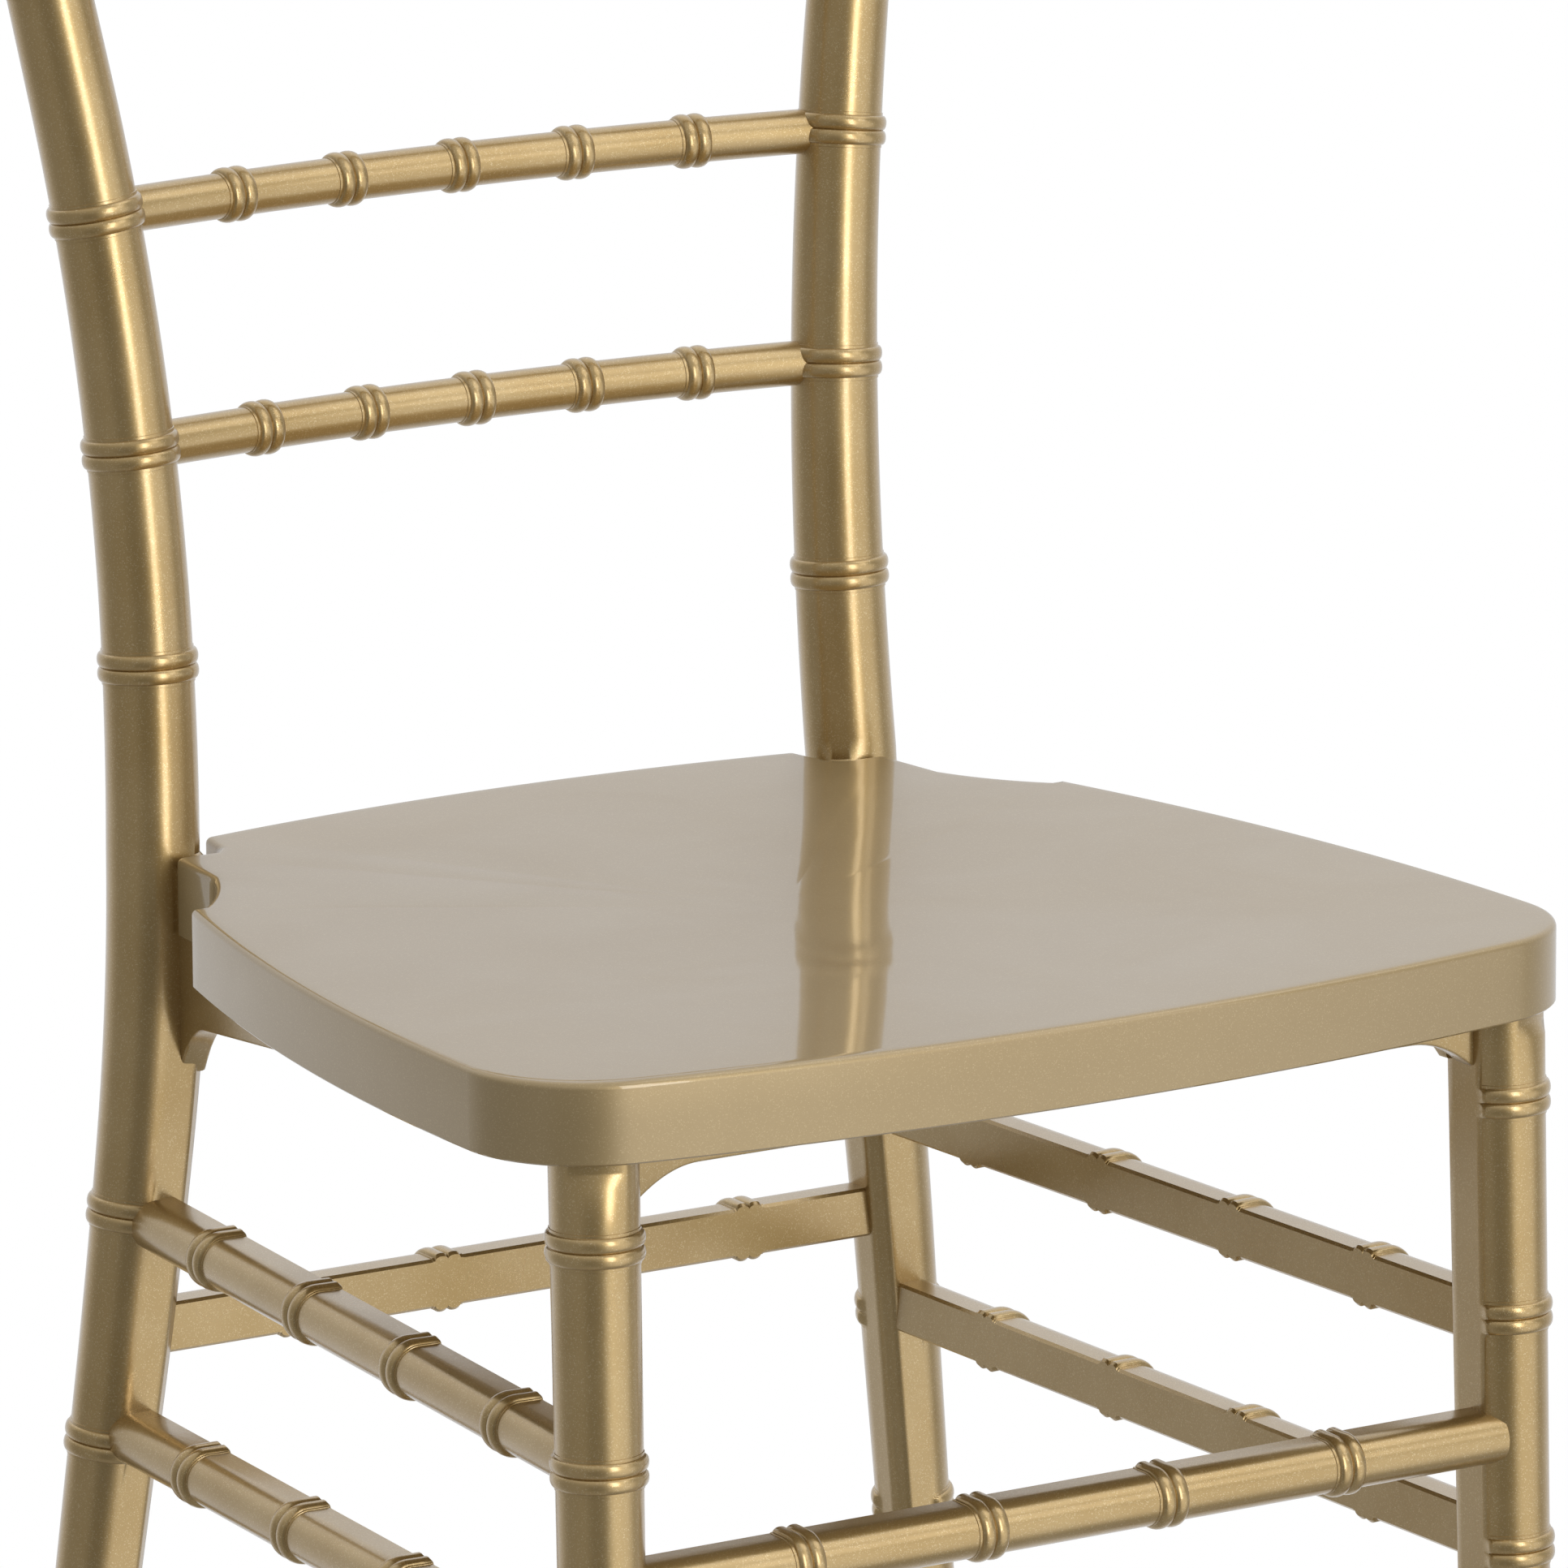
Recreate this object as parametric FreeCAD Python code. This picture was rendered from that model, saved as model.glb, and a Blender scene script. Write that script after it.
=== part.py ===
import FreeCAD, Part
import math
import os

V = FreeCAD.Vector
UP = V(0, 0, 1)

# Driving dimensions, in millimetres unless a comment says otherwise

# Seat, a moulded shell with a skirt
seat_height = 445.0            # top of the seat above the floor, at the post line
seat_pitch = 0.65              # degrees, the front edge stands higher
seat_side_overhang = 15.4      # beyond the outer side of a front leg
seat_front_overhang = 18.3     # ahead of the front legs, at the middle of the edge
seat_front_bow = 22.0          # how far the front edge curves forward in the middle
seat_side_bow = 10.3
seat_corner_radius = 45.0
seat_ear_out = 33.2            # outer rear corner, outside the post axis
seat_ear_ahead = 85.4          # outer rear corner, ahead of the post axis
seat_ear_step = 4.9
seat_throat_out = 5.1          # end of the hollow ahead of the post, outside its axis
seat_throat_ahead = 50.4
seat_throat_bow = 2.2
seat_tip_out = 1.7             # tip of the seat just ahead of the post
seat_rear_overhang = 3.0       # rear corners of the seat, behind the post axis
seat_rear_draft = 3.4          # how much the rear tongue narrows
seat_rear_bow = 10.2
seat_notch_gap = 2.4           # free space around the post
seat_skirt = 27.0
seat_plate = 4.6
seat_wall = 2.6
seat_edge_chamfer = 1.6
seat_rib_wall = 2.4
seat_rib_depth = 7.0
seat_rib_spacing = 66.0
seat_rib_count = 3

# Front legs
front_leg_half_spacing = 174.0
front_leg_splay = 2.4          # sideways, from the seat down to the floor
front_leg_rake = 17.0          # forwards, from the seat down to the floor
front_leg_seat_radius = 14.7
front_leg_foot_radius = 13.0
front_leg_flat = 0.91          # the two flat faces, as a share of the leg's radius
front_leg_corner = 1.2         # chamfer of the corner between the flat faces

# Rear posts, each one piece from the floor to above the crest
post_line_back = 346.0         # post axis behind the front leg axis, at the seat
post_waist_half_spacing = 137.6
post_waist_height = 513.0
post_upper_flare = 4.39e-4     # outward curve above the waist, per millimetre
post_upper_reach = 190.0       # straight beyond this distance from the waist
post_lower_flare = 3.4e-4      # outward curve below the waist, per millimetre
post_lower_reach = 166.0
post_lean = 0.0706             # backward slope at the seat
post_sweep = 1.065e-4          # backward curve above the seat, per millimetre
post_knee_curve = 3.25e-4      # backward curve of the leg below the seat, per millimetre
post_knee_reach = 183.0
post_seat_radius = 15.9
post_crown_radius = 12.9
post_foot_radius = 11.4
post_flat = 1.0                # the leg's two flat faces, as a share of its radius
post_corner = 4.6
post_top = 909.0
post_dome = 7.0                # height of the rounded top
post_dome_steps = ((0.7, 0.72), (1.0, 0.3))   # height and width of its two steps, as shares
post_runout = 3.0              # where the flat faces end in the round post above
post_sides = 16                # flat strips round a leg or post

# Bamboo rings, each a pair of beads
bead_pitch = 5.0
bead_foot = 2.6                # half the width of a bead
bead_rise = 1.8
bead_groove = 0.27             # rise between the two beads
leg_ring_heights = (393.2, 319.9, 240.1, 165.5, 92.0)
post_ring_heights = (507.2, 580.3, 659.8, 742.0)

# Back: two slats, a spindle rail, a crest rail and upright spindles
back_curve_radius = 900.0      # in plan
slat_radius = 7.75
spindle_rail_radius = 7.75
crest_radius = 9.0
crest_height = 887.0
bar_spaces = 6.5               # ring spaces that fit between the post axes
bar_ring_places = (-2, -1, 0, 1, 2)
crest_ring_places = (-2, 0, 2)
spindle_radius = 5.0
spindle_count = 6
bar_sides = 10                 # flat strips round a back bar
spindle_sides = 8

# Stretchers, with a half round outer side and a flat inner side
stretcher_height = 17.6
stretcher_flat = 8.3           # depth of the square part
side_stretcher_out = 7.4       # outer side of a side stretcher, outside the leg axis
front_stretcher_out = 13.5     # outer side, ahead of the leg axis
rear_stretcher_out = 9.6       # outer side, behind the leg axis
side_upper_height = 318.0
side_lower_height = 243.5
front_stretcher_height = 279.3
rear_stretcher_height = 278.4
stretcher_sides = 6            # flat strips round a stretcher's outer side
stretcher_ring_count = 4
side_ring_pitch = 73.5
front_ring_pitch = 69.5
rear_ring_pitch = 61.0

# Seat rails
rail_wall = 10.0
rail_drop = 34.0               # lower edge of the rails below the top of the seat
front_rail_back = 1.0          # middle of the front rail, behind the leg axis
rear_rail_ahead = 9.0          # middle of the rear rail, ahead of the post axis
side_rail_front_in = 9.0       # middle of a side rail, inside the front leg axis
side_rail_rear_in = 11.5       # middle of a side rail, inside the post axis
bracket_length = 42.0          # curved widening of a rail where it meets a leg
bracket_depth = 5.0
long_bracket_length = 125.0    # the same at the rear end of the side rails
long_bracket_depth = 19.0

# Joints
tenon_width = 7.0              # of the square tenons on bars and stretchers
tenon_length = 8.5
rail_tenon_width = 5.0
rail_tenon_height = 16.0
spindle_seat = 5.0             # how deep a spindle stands in each rail
socket_gap = 0.15
socket_end_gap = 0.6
slot_gap = 0.8                 # around the rails where they pass the seat's skirt

# Corner blocks, screws and glides
block_leg = 46.0
block_tip = 7.0
block_height = 12.0
boss_length = 9.0
boss_radius = 5.0
boss_share = 0.34              # place of the boss along the block's two legs
screw_radius = 1.9
screw_head_radius = 3.7        # of the hexagon head
screw_head_height = 2.8
screw_thread_gap = 0.1
screw_hole_gap = 0.4
screw_bite = 7.0               # length of thread in the seat's boss
glide_height = 6.0
glide_chamfer = 1.4
glide_inset = 0.5
glide_stem = 6.0
glide_stem_length = 10.0

# Values that follow from the sizes above
stretcher_round = stretcher_height / 2.0
plate_bottom = seat_height - seat_plate
rail_bottom = seat_height - rail_drop
block_top = plate_bottom - boss_length
block_bottom = block_top - block_height
FAR = 2.0 * (seat_height + post_line_back)
SIDES = {"left": -1.0, "right": 1.0}


# Lines of the legs and posts

def bent_offset(distance, slope, curve, reach):
    """Offset along a parabola that goes on as its tangent past reach."""
    bent = min(distance, reach)
    return slope * bent + curve * bent ** 2 + (distance - bent) * (slope + 2.0 * curve * reach)


def front_leg_centre(z, side):
    down = (seat_height - z) / seat_height
    return V(side * (front_leg_half_spacing + front_leg_splay * down), -front_leg_rake * down, z)


def front_leg_radius(z):
    return front_leg_foot_radius + (front_leg_seat_radius - front_leg_foot_radius) * z / seat_height


def post_centre(z, side):
    if z > post_waist_height:
        flare = bent_offset(z - post_waist_height, 0.0, post_upper_flare, post_upper_reach)
    else:
        flare = bent_offset(post_waist_height - z, 0.0, post_lower_flare, post_lower_reach)
    if z > seat_height:
        back = bent_offset(z - seat_height, post_lean, post_sweep, FAR)
    else:
        back = bent_offset(seat_height - z, -post_lean, post_knee_curve, post_knee_reach)
    return V(side * (post_waist_half_spacing + flare), post_line_back + back, z)


def post_radius(z):
    if z > seat_height:
        share = (z - seat_height) / (post_top - seat_height)
        return post_seat_radius + (post_crown_radius - post_seat_radius) * share
    return post_foot_radius + (post_seat_radius - post_foot_radius) * z / seat_height


def heading(centre, z, side):
    """Unit vector up along a leg or post."""
    return (centre(z + 1.0, side) - centre(z - 1.0, side)).normalize()


# Shapes that repeat

def centred(count, pitch):
    return [(i - (count - 1) / 2.0) * pitch for i in range(count)]


def box(x0, x1, y0, y1, z0, z1):
    return Part.makeBox(x1 - x0, y1 - y0, z1 - z0, V(x0, y0, z0))


def fused(solids):
    return solids[0].multiFuse(solids[1:]).removeSplitter()


def polygon(points):
    return Part.makePolygon(points + points[:1])


def ruled(outlines):
    """Solid through closed outlines with the same number of corners."""
    return Part.makeLoft([polygon(points) for points in outlines], True, True)


def placed(shape, point, direction):
    """Copy of a shape drawn along +X, moved so that it starts at a point and runs that way."""
    copy = shape.copy()
    copy.Placement = FreeCAD.Placement(point, FreeCAD.Rotation(V(1, 0, 0), direction))
    return copy


def with_seat_pitch(shape):
    """Copy of a shape, turned by the seat's pitch about the post line."""
    copy = shape.copy()
    copy.rotate(V(0, post_line_back, seat_height), V(1, 0, 0), -seat_pitch)
    return copy


def peg(point, direction, start, end, width, height, gap):
    """Square peg along a line, or its socket where a gap is given."""
    half_w = width / 2.0 + gap
    half_h = height / 2.0 + gap
    return placed(box(start, end, -half_w, half_w, -half_h, half_h), point, direction)


def stations(start, end, ring_places, between=1):
    """Places along a bar as (place, rise above the bar), with each ring's two beads."""
    half = bead_pitch / 2.0
    bead = [(-half - bead_foot, 0.0), (-half, bead_rise), (0.0, bead_groove),
            (half, bead_rise), (half + bead_foot, 0.0)]
    places = [(start, 0.0)]
    for ring in sorted(ring_places) + [None]:
        stop = end if ring is None else ring - half - bead_foot
        here = places[-1][0]
        places += [(here + (stop - here) * i / between, 0.0) for i in range(1, between)]
        places += [(end, 0.0)] if ring is None else [(ring + along, rise) for along, rise in bead]
    return places


def corner_radius(radius, sides):
    """Corner distance of the many-sided section with the area of a round one."""
    angle = 2.0 * math.pi / sides
    return radius * math.sqrt(angle / math.sin(angle))


def round_section(point, direction, reference, radius, sides):
    """Corners of a round section square to a direction, the first one on the reference's side."""
    first = (reference - direction * reference.dot(direction)).normalize()
    second = direction.cross(first)
    out = corner_radius(radius, sides)
    corners = []
    for i in range(sides):
        turn = 2.0 * math.pi * i / sides
        corners.append(point + first * (out * math.cos(turn)) + second * (out * math.sin(turn)))
    return corners


# Legs, round but for two flat faces toward the middle of the chair

def leg_section(centre, radius, z, side, flat_share, corner, facing, rise=0.0, level=False):
    """Corners of a leg's section at a height, square to the leg or level; rise lifts its round part."""
    middle = centre(z, side)
    up = UP if level else heading(centre, z, side)
    out = corner_radius(radius, post_sides)
    flat = flat_share * out
    reach = math.sqrt(max(out ** 2 - flat ** 2, 0.0))
    half = flat - corner / 2.0
    offsets = [(flat, -reach), (flat, flat - corner), (half, half), (flat - corner, flat), (-reach, flat)]
    first = math.atan2(flat, -reach)
    last = 2.0 * math.pi + math.atan2(-reach, flat)
    count = post_sides - len(offsets) + 1
    for i in range(1, count):
        turn = first + (last - first) * i / count
        offsets.append(((out + rise) * math.cos(turn), (out + rise) * math.sin(turn)))
    corners = []
    for inward, toward in offsets:
        x = -side * inward
        y = facing * toward
        corners.append(middle + V(x, y, -(up.x * x + up.y * y) / up.z))
    return corners


def front_leg_body(side):
    outlines = []
    for z, rise in stations(glide_height, seat_height + seat_skirt, leg_ring_heights):
        level = rise == 0.0 and z == glide_height
        outlines.append(leg_section(
            front_leg_centre, front_leg_radius(z), z, side, front_leg_flat, front_leg_corner, 1.0,
            rise, level))
    above = with_seat_pitch(box(-FAR, FAR, -FAR, FAR, plate_bottom, FAR))
    return ruled(outlines).cut(above)


def rear_post_body(side):
    outlines = []
    for z, rise in stations(glide_height, plate_bottom, leg_ring_heights[1:], 2):
        level = rise == 0.0 and z in (glide_height, plate_bottom)
        outlines.append(leg_section(
            post_centre, post_radius(z), z, side, post_flat, post_corner, -1.0, rise, level))
    shoulder = post_top - post_dome
    upper = stations(plate_bottom + post_runout, shoulder, post_ring_heights, 2)
    for z, rise in upper:
        outlines.append(post_outline(z, post_radius(z) + rise, side))
    for height, share in post_dome_steps:
        z = shoulder + height * post_dome
        outlines.append(post_outline(z, share * post_radius(shoulder), side))
    return ruled(outlines)


def post_outline(z, radius, side):
    """Corners of the round part of a post, in the same order as the leg's section below it."""
    middle = post_centre(z, side)
    up = heading(post_centre, z, side)
    out = corner_radius(radius, post_sides)
    corners = []
    for i in range(post_sides):
        turn = 2.0 * math.pi * i / post_sides
        x = -side * out * math.cos(turn)
        y = -out * math.sin(turn)
        corners.append(middle + V(x, y, -(up.x * x + up.y * y) / up.z))
    return corners


# Back bars, bowed backwards in plan

def bar_point(z, x):
    end = post_centre(z, 1.0)
    ahead = math.sqrt(back_curve_radius ** 2 - end.x ** 2)
    return V(x, end.y - ahead + math.sqrt(back_curve_radius ** 2 - x ** 2), z)


def bar_heading(x):
    return V(math.sqrt(back_curve_radius ** 2 - x ** 2), -x, 0.0).normalize()


def ring_pitch(z):
    return 2.0 * post_centre(z, 1.0).x / bar_spaces


def back_bar(z, radius, ring_places, posts, sockets):
    """A bowed round bar with rings, coped to the posts, with a square tenon in each."""
    half_span = post_centre(z, 1.0).x
    rings = [place * ring_pitch(z) for place in ring_places]
    outlines = []
    for x, rise in stations(-half_span, half_span, rings):
        outlines.append(round_section(bar_point(z, x), bar_heading(x), UP, radius + rise, bar_sides))
    bar = ruled(outlines)
    for post in posts.values():
        bar = bar.cut(post)
    solids = [bar]
    size = post_radius(z)
    inner = size - tenon_length
    outer = size + radius
    for name, side in SIDES.items():
        point = post_centre(z, side)
        inward = bar_heading(side * half_span) * -side
        solids.append(peg(point, inward, inner, outer, tenon_width, tenon_width, 0.0))
        sockets["rear_post_" + name].append(
            peg(point, inward, inner - socket_end_gap, outer, tenon_width, tenon_width, socket_gap))
    return fused(solids)


def spindle_ends(index):
    """The two axis points of a spindle, on the spindle rail and on the crest rail."""
    place = index - (spindle_count - 1) / 2.0
    rail_z = post_ring_heights[-1]
    low = bar_point(rail_z, place * ring_pitch(rail_z))
    high = bar_point(crest_height, place * ring_pitch(crest_height))
    return low, high


def spindle(index):
    low, high = spindle_ends(index)
    along = (high - low).normalize()
    start = spindle_rail_radius - spindle_seat
    end = (high - low).Length - crest_radius + spindle_seat
    outlines = []
    for place, rise in stations(start, end, [(start + end) / 2.0]):
        outlines.append(round_section(
            low + along * place, along, V(1, 0, 0), spindle_radius + rise, spindle_sides))
    return ruled(outlines)


def spindle_bores(index):
    """Bores for one spindle, in the spindle rail and in the crest rail."""
    low, high = spindle_ends(index)
    along = (high - low).normalize()
    depth = spindle_seat + socket_end_gap
    bores = []
    for axis, inward, rail_radius in ((low, along, spindle_rail_radius), (high, along * -1.0, crest_radius)):
        outlines = []
        for place in (rail_radius - depth, rail_radius + spindle_radius):
            outlines.append(round_section(
                axis + inward * place, along, V(1, 0, 0), spindle_radius + socket_gap, spindle_sides))
        bores.append(ruled(outlines))
    return bores


# Stretchers, drawn along +X with the round side toward +Y

def stretcher_section(x, out, rise):
    """Corners of a stretcher's section; rise lifts all of it but the flat inner face."""
    centre = out - stretcher_round
    back = centre - stretcher_flat
    r = stretcher_round + rise
    corners = [V(x, back, -r)]
    for i in range(stretcher_sides + 1):
        turn = math.pi * (i / stretcher_sides - 0.5)
        corners.append(V(x, centre + r * math.cos(turn), r * math.sin(turn)))
    corners.append(V(x, back, r))
    return corners


def stretcher(start, end, out, ring_pitch_along, legs, sockets):
    """Start and end are (leg name, axis point, leg radius); out is the round side's distance."""
    run = end[1] - start[1]
    along = V(run).normalize()
    rings = [run.Length / 2.0 + place for place in centred(stretcher_ring_count, ring_pitch_along)]
    outlines = [stretcher_section(x, out, rise) for x, rise in stations(0.0, run.Length, rings)]
    body = placed(ruled(outlines), start[1], along)
    solids = [body.cut(legs[start[0]]).cut(legs[end[0]])]
    for (name, point, radius), inward in ((start, along), (end, along * -1.0)):
        inner = radius - tenon_length
        outer = radius + tenon_width
        solids.append(peg(point, inward, inner, outer, tenon_width, tenon_width, 0.0))
        sockets[name].append(
            peg(point, inward, inner - socket_end_gap, outer, tenon_width, tenon_width, socket_gap))
    return fused(solids)


def stretcher_end(kind, name, z):
    side = SIDES[name]
    if kind == "front":
        return "front_leg_" + name, front_leg_centre(z, side), front_leg_radius(z)
    return "rear_post_" + name, post_centre(z, side), post_radius(z)


# Seat rails, drawn along +X with the outer face toward +Y and the lower edge at Z = 0

def rail_profile(length, start, end):
    """Side view of a rail; start and end are (leg radius, bracket length, bracket depth)."""
    height = plate_bottom - rail_bottom

    def bracket(place, inward, reach, depth):
        """Lower line at one end: level under the leg, then a hollow curve up to the rail."""
        radius = (reach ** 2 + depth ** 2) / (2.0 * depth)
        half = reach / 2.0
        middle = -(radius - math.sqrt(radius ** 2 - half ** 2))
        toe = V(place, 0, -depth)
        return toe, V(place + inward * half, 0, middle), V(place + inward * reach, 0, 0)

    toe, middle, root = bracket(start[0], 1.0, start[1], start[2])
    far_toe, far_middle, far_root = bracket(length - end[0], -1.0, end[1], end[2])
    edges = [
        Part.LineSegment(V(0, 0, height), V(0, 0, toe.z)),
        Part.LineSegment(V(0, 0, toe.z), toe),
        Part.Arc(toe, middle, root),
        Part.LineSegment(root, far_root),
        Part.Arc(far_root, far_middle, far_toe),
        Part.LineSegment(far_toe, V(length, 0, far_toe.z)),
        Part.LineSegment(V(length, 0, far_toe.z), V(length, 0, height)),
        Part.LineSegment(V(length, 0, height), V(0, 0, height)),
    ]
    return Part.Face(Part.Wire([edge.toShape() for edge in edges]))


def rail_line(kind, extra=0.0):
    """Start and end of a rail's middle line at seat level; extra moves it inwards."""
    front = front_leg_half_spacing
    rear = post_centre(seat_height, 1.0)
    front_y = front_rail_back + extra
    rear_y = rear.y - rear_rail_ahead - extra
    side_front = front - side_rail_front_in - extra
    side_rear = rear.x - side_rail_rear_in - extra
    lines = {
        "front": (V(front, front_y, 0), V(-front, front_y, 0)),
        "rear": (V(-rear.x, rear_y, 0), V(rear.x, rear_y, 0)),
        "left": (V(-side_front, 0, 0), V(-side_rear, rear.y, 0)),
        "right": (V(side_rear, rear.y, 0), V(side_front, 0, 0)),
    }
    return lines[kind]


RAIL_ENDS = {
    "front": ("front_leg_right", "front_leg_left"),
    "rear": ("rear_post_left", "rear_post_right"),
    "left": ("front_leg_left", "rear_post_left"),
    "right": ("rear_post_right", "front_leg_right"),
}


def rail_blank(kind, gap=0.0):
    """A rail from leg axis to leg axis, or the room it takes with a gap around it."""
    start, end = rail_line(kind)
    along = (end - start).normalize()
    length = (end - start).Length
    ends = []
    for name in RAIL_ENDS[kind]:
        long_end = kind in SIDES and name.startswith("rear")
        radius = post_seat_radius if name.startswith("rear") else front_leg_seat_radius
        if long_end:
            ends.append((radius, long_bracket_length, long_bracket_depth))
        else:
            ends.append((radius, bracket_length, bracket_depth))
    half = rail_wall / 2.0 + gap
    solid = rail_profile(length, ends[0], ends[1]).extrude(V(0, 2.0 * half, 0))
    solid.translate(V(0, -half, 0))
    return with_seat_pitch(placed(solid, start + V(0, 0, rail_bottom), along))


def seat_rail(kind, legs, sockets):
    start, end = rail_line(kind)
    along = (end - start).normalize()
    rail = rail_blank(kind)
    solids = []
    for name in RAIL_ENDS[kind]:
        rail = rail.cut(legs[name])
    solids.append(rail)
    z = (plate_bottom + rail_bottom) / 2.0
    for name, point, inward in zip(RAIL_ENDS[kind], (start, end), (along, along * -1.0)):
        radius = post_seat_radius if name.startswith("rear") else front_leg_seat_radius
        inner = radius - tenon_length
        outer = radius + rail_wall
        place = point + V(0, 0, z)
        plain = peg(place, inward, inner, outer, rail_tenon_width, rail_tenon_height, 0.0)
        solids.append(with_seat_pitch(plain))
        sunk = peg(
            place, inward, inner - socket_end_gap, outer, rail_tenon_width, rail_tenon_height, socket_gap)
        sockets[name].append(with_seat_pitch(sunk))
    return fused(solids)


# Corner blocks

def block_frame(end_name, side_name):
    """Inner corner of two rails, and unit vectors along them, away from the corner."""
    start, end = rail_line(end_name, rail_wall / 2.0)
    side_start, side_end = rail_line(side_name, rail_wall / 2.0)
    run = (side_end - side_start).normalize()
    reach = (start.y - side_start.y) / run.y
    corner = side_start + run * reach
    across = V(-SIDES[side_name], 0, 0)
    toward_back = 1.0 if end_name == "front" else -1.0
    along = run * (toward_back if run.y > 0.0 else -toward_back)
    return corner, across, along


def corner_block(end_name, side_name, legs):
    corner, across, along = block_frame(end_name, side_name)
    tip = block_tip
    points = [
        corner,
        corner + across * block_leg,
        corner + across * block_leg + along * tip,
        corner + across * tip + along * block_leg,
        corner + along * block_leg,
    ]
    plan = Part.Face(Part.makePolygon(points + points[:1]))
    plan.translate(V(0, 0, block_bottom))
    block = with_seat_pitch(plan.extrude(V(0, 0, block_height)))
    for leg in legs.values():
        block = block.cut(leg)
    return block.cut(screw_bore(end_name, side_name, screw_hole_gap))


def screw_place(end_name, side_name):
    corner, across, along = block_frame(end_name, side_name)
    return corner + (across + along) * (boss_share * block_leg)


def upright_prism(place, radius, height, sides=8):
    corners = round_section(place, UP, V(1, 0, 0), radius, sides)
    return Part.Face(polygon(corners)).extrude(V(0, 0, height))


def screw_bore(end_name, side_name, gap):
    """A screw's shank, or its bore with a gap around it and beyond its tip."""
    start = block_bottom - screw_head_height / 2.0
    length = screw_head_height / 2.0 + block_height + screw_bite + gap
    place = screw_place(end_name, side_name) + V(0, 0, start)
    return with_seat_pitch(upright_prism(place, screw_radius + gap, length))


def seat_screw(end_name, side_name):
    place = screw_place(end_name, side_name) + V(0, 0, block_bottom - screw_head_height)
    head = with_seat_pitch(upright_prism(place, screw_head_radius, screw_head_height, 6))
    return fused([head, screw_bore(end_name, side_name, 0.0)])


BLOCKS = (("front", "left"), ("front", "right"), ("rear", "left"), ("rear", "right"))


# Seat

def seat_outline():
    """Plan of the seat as a face at Z = 0; the right half is drawn and mirrored."""
    post = post_centre(seat_height, 1.0)
    notch = post_seat_radius * post_flat + seat_notch_gap
    half_width = front_leg_half_spacing + front_leg_seat_radius + seat_side_overhang
    front_y = -front_leg_seat_radius - seat_front_overhang
    corner = V(half_width, front_y + seat_front_bow, 0)
    ear = V(post.x + seat_ear_out, post.y - seat_ear_ahead, 0)
    step = ear - V(seat_ear_step, 0, 0)
    throat = V(post.x + seat_throat_out, post.y - seat_throat_ahead, 0)
    tip = V(post.x + seat_tip_out, post.y - notch, 0)
    diagonal_start = V(post.x - notch + post_corner, post.y - notch, 0)
    diagonal_end = V(post.x - notch, post.y - notch + post_corner, 0)
    rear = V(post.x - notch - seat_rear_draft, post.y + seat_rear_overhang, 0)

    def bowed(a, b, bow):
        """Arc from a to b that bulges to the right of its way by bow."""
        way = b - a
        return Part.Arc(a, (a + b) * 0.5 + V(way.y, -way.x, 0).normalize() * bow, b).toShape()

    right = [
        bowed(corner, ear, seat_side_bow),
        Part.LineSegment(ear, step).toShape(),
        bowed(step, throat, -seat_throat_bow),
        Part.LineSegment(throat, tip).toShape(),
        Part.LineSegment(tip, diagonal_start).toShape(),
        Part.LineSegment(diagonal_start, diagonal_end).toShape(),
        Part.LineSegment(diagonal_end, rear).toShape(),
    ]
    left = [edge.mirror(V(0, 0, 0), V(1, 0, 0)) for edge in right]
    front = Part.Arc(V(-corner.x, corner.y, 0), V(0, front_y, 0), corner).toShape()
    back = Part.Arc(rear, V(0, rear.y + seat_rear_bow, 0), V(-rear.x, rear.y, 0)).toShape()
    wire = Part.Wire(Part.__sortEdges__([front] + right + [back] + left))
    return Part.Face(wire)


def seat_block():
    """The seat's outer shape, without its hollow."""
    plan = seat_outline()
    plan.translate(V(0, 0, seat_height - seat_skirt))
    outer = plan.extrude(V(0, 0, seat_skirt))
    upright = [edge for edge in outer.Edges if is_front_corner(edge)]
    return outer.makeFillet(seat_corner_radius, upright)


def seat_hollow(outer, wall):
    """The room inside the skirt, with its upper end a wall below the seat's top."""
    bottom = seat_height - seat_skirt
    floor = [face for face in outer.Faces if face.BoundBox.ZMax < bottom + 1e-6]
    return outer.cut(outer.makeThickness(floor, -wall, 1e-3))


def beyond_skirt():
    """All that a front leg gives up beside the seat's skirt, with a gap to it."""
    room = seat_hollow(seat_block(), seat_wall + socket_gap)
    room.translate(V(0, 0, -socket_gap))
    low = seat_height - seat_skirt - socket_gap
    return with_seat_pitch(box(-FAR, FAR, -FAR, FAR, low, seat_height).cut(room))


def seat_panel(rail_rooms):
    outer = seat_block()
    hollow = seat_hollow(outer, seat_wall)
    hollow.translate(V(0, 0, seat_wall - seat_plate))
    rim = [edge for edge in outer.Edges if edge.BoundBox.ZMin > seat_height - 1e-6]
    shell = outer.makeChamfer(seat_edge_chamfer, rim).cut(hollow)
    middle_y = (post_line_back - front_leg_seat_radius) / 2.0
    pieces = [shell]
    reach = seat_rib_spacing * (seat_rib_count + 1) / 2.0
    half = seat_rib_wall / 2.0
    for place in centred(seat_rib_count, seat_rib_spacing):
        low = plate_bottom - seat_rib_depth
        high = plate_bottom + seat_plate / 2.0
        y = middle_y + place
        pieces.append(box(place - half, place + half, middle_y - reach, middle_y + reach, low, high))
        pieces.append(box(-reach, reach, y - half, y + half, low, high))
    for pair in BLOCKS:
        place = screw_place(*pair) + V(0, 0, block_top)
        pieces.append(upright_prism(place, boss_radius, boss_length + seat_plate / 2.0))
    seat = with_seat_pitch(fused(pieces))
    for pair in BLOCKS:
        seat = seat.cut(screw_bore(pair[0], pair[1], screw_thread_gap))
    for room in rail_rooms:
        seat = seat.cut(room)
    return seat


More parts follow.
